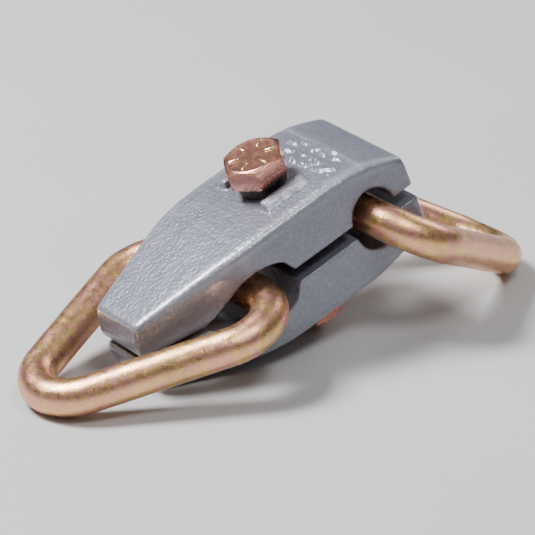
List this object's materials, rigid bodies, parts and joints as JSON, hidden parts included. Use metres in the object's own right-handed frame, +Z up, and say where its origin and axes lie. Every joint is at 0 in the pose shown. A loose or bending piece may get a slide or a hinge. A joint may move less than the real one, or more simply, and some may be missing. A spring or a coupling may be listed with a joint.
{
  "type": "two-jaw pull clamp",
  "caption": "Two-jaw pull clamp: cast serrated jaws drawn together by a hex bolt, with a triangular pull ring swinging at the front and at the rear.",
  "frame": {"origin": "on the floor, under the middle of the whole clamp's box, on the plane that halves the jaws' width", "axes": "+X from the nose towards the rear ring, +Y across the jaws, +Z up; the jaws stand pitched 20.03 degrees nose-down, so the bolt's axis leans forward by the same angle"},
  "size_m": [0.1912, 0.0836, 0.069],
  "materials": {
    "cast_grey": "silver-grey paint over rough steel casting",
    "yellow_zinc": "yellow zinc dichromate plating, iridescent",
    "dark_steel": "dark oxide",
    "spring_steel": "plain spring steel"
  },
  "bodies": {
    "lower_half": {"lower_jaw": "cast_grey", "hex_nut": "yellow_zinc", "spreader_spring": "spring_steel"},
    "upper_half": {"upper_jaw": "cast_grey", "bolt_washer": "dark_steel"},
    "bolt": {"clamp_bolt": "yellow_zinc"},
    "front_ring": {"front_pull_ring": "yellow_zinc"},
    "rear_ring": {"rear_pull_ring": "yellow_zinc"}
  },
  "joints": [
    {"name": "jaw_travel", "type": "slide", "parent": "lower_half", "child": "upper_half", "axis": [-0.3425, 0, 0.9395], "range_m": [-0.002, 0.006], "deforming": ["spreader_spring"]},
    {"name": "bolt_turn", "type": "hinge", "parent": "upper_half", "child": "bolt", "pos_m": [-0.00428, 0, 0.05849], "axis": [-0.3425, 0, 0.9395], "range_deg": [-369, 1106]},
    {"name": "front_ring_swing", "type": "hinge", "parent": "lower_half", "child": "front_ring", "pos_m": [-0.01864, 0, 0.02632], "axis": [0, 1, 0], "range_deg": [-104.24, 95.76]},
    {"name": "rear_ring_swing", "type": "hinge", "parent": "lower_half", "child": "rear_ring", "pos_m": [0.0253, 0, 0.04234], "axis": [0, 1, 0], "range_deg": [-149.38, 50.62]}
  ],
  "couplings": [
    {"joint": "bolt_turn", "follows": "jaw_travel", "rad_per_m": 3215.8}
  ]
}
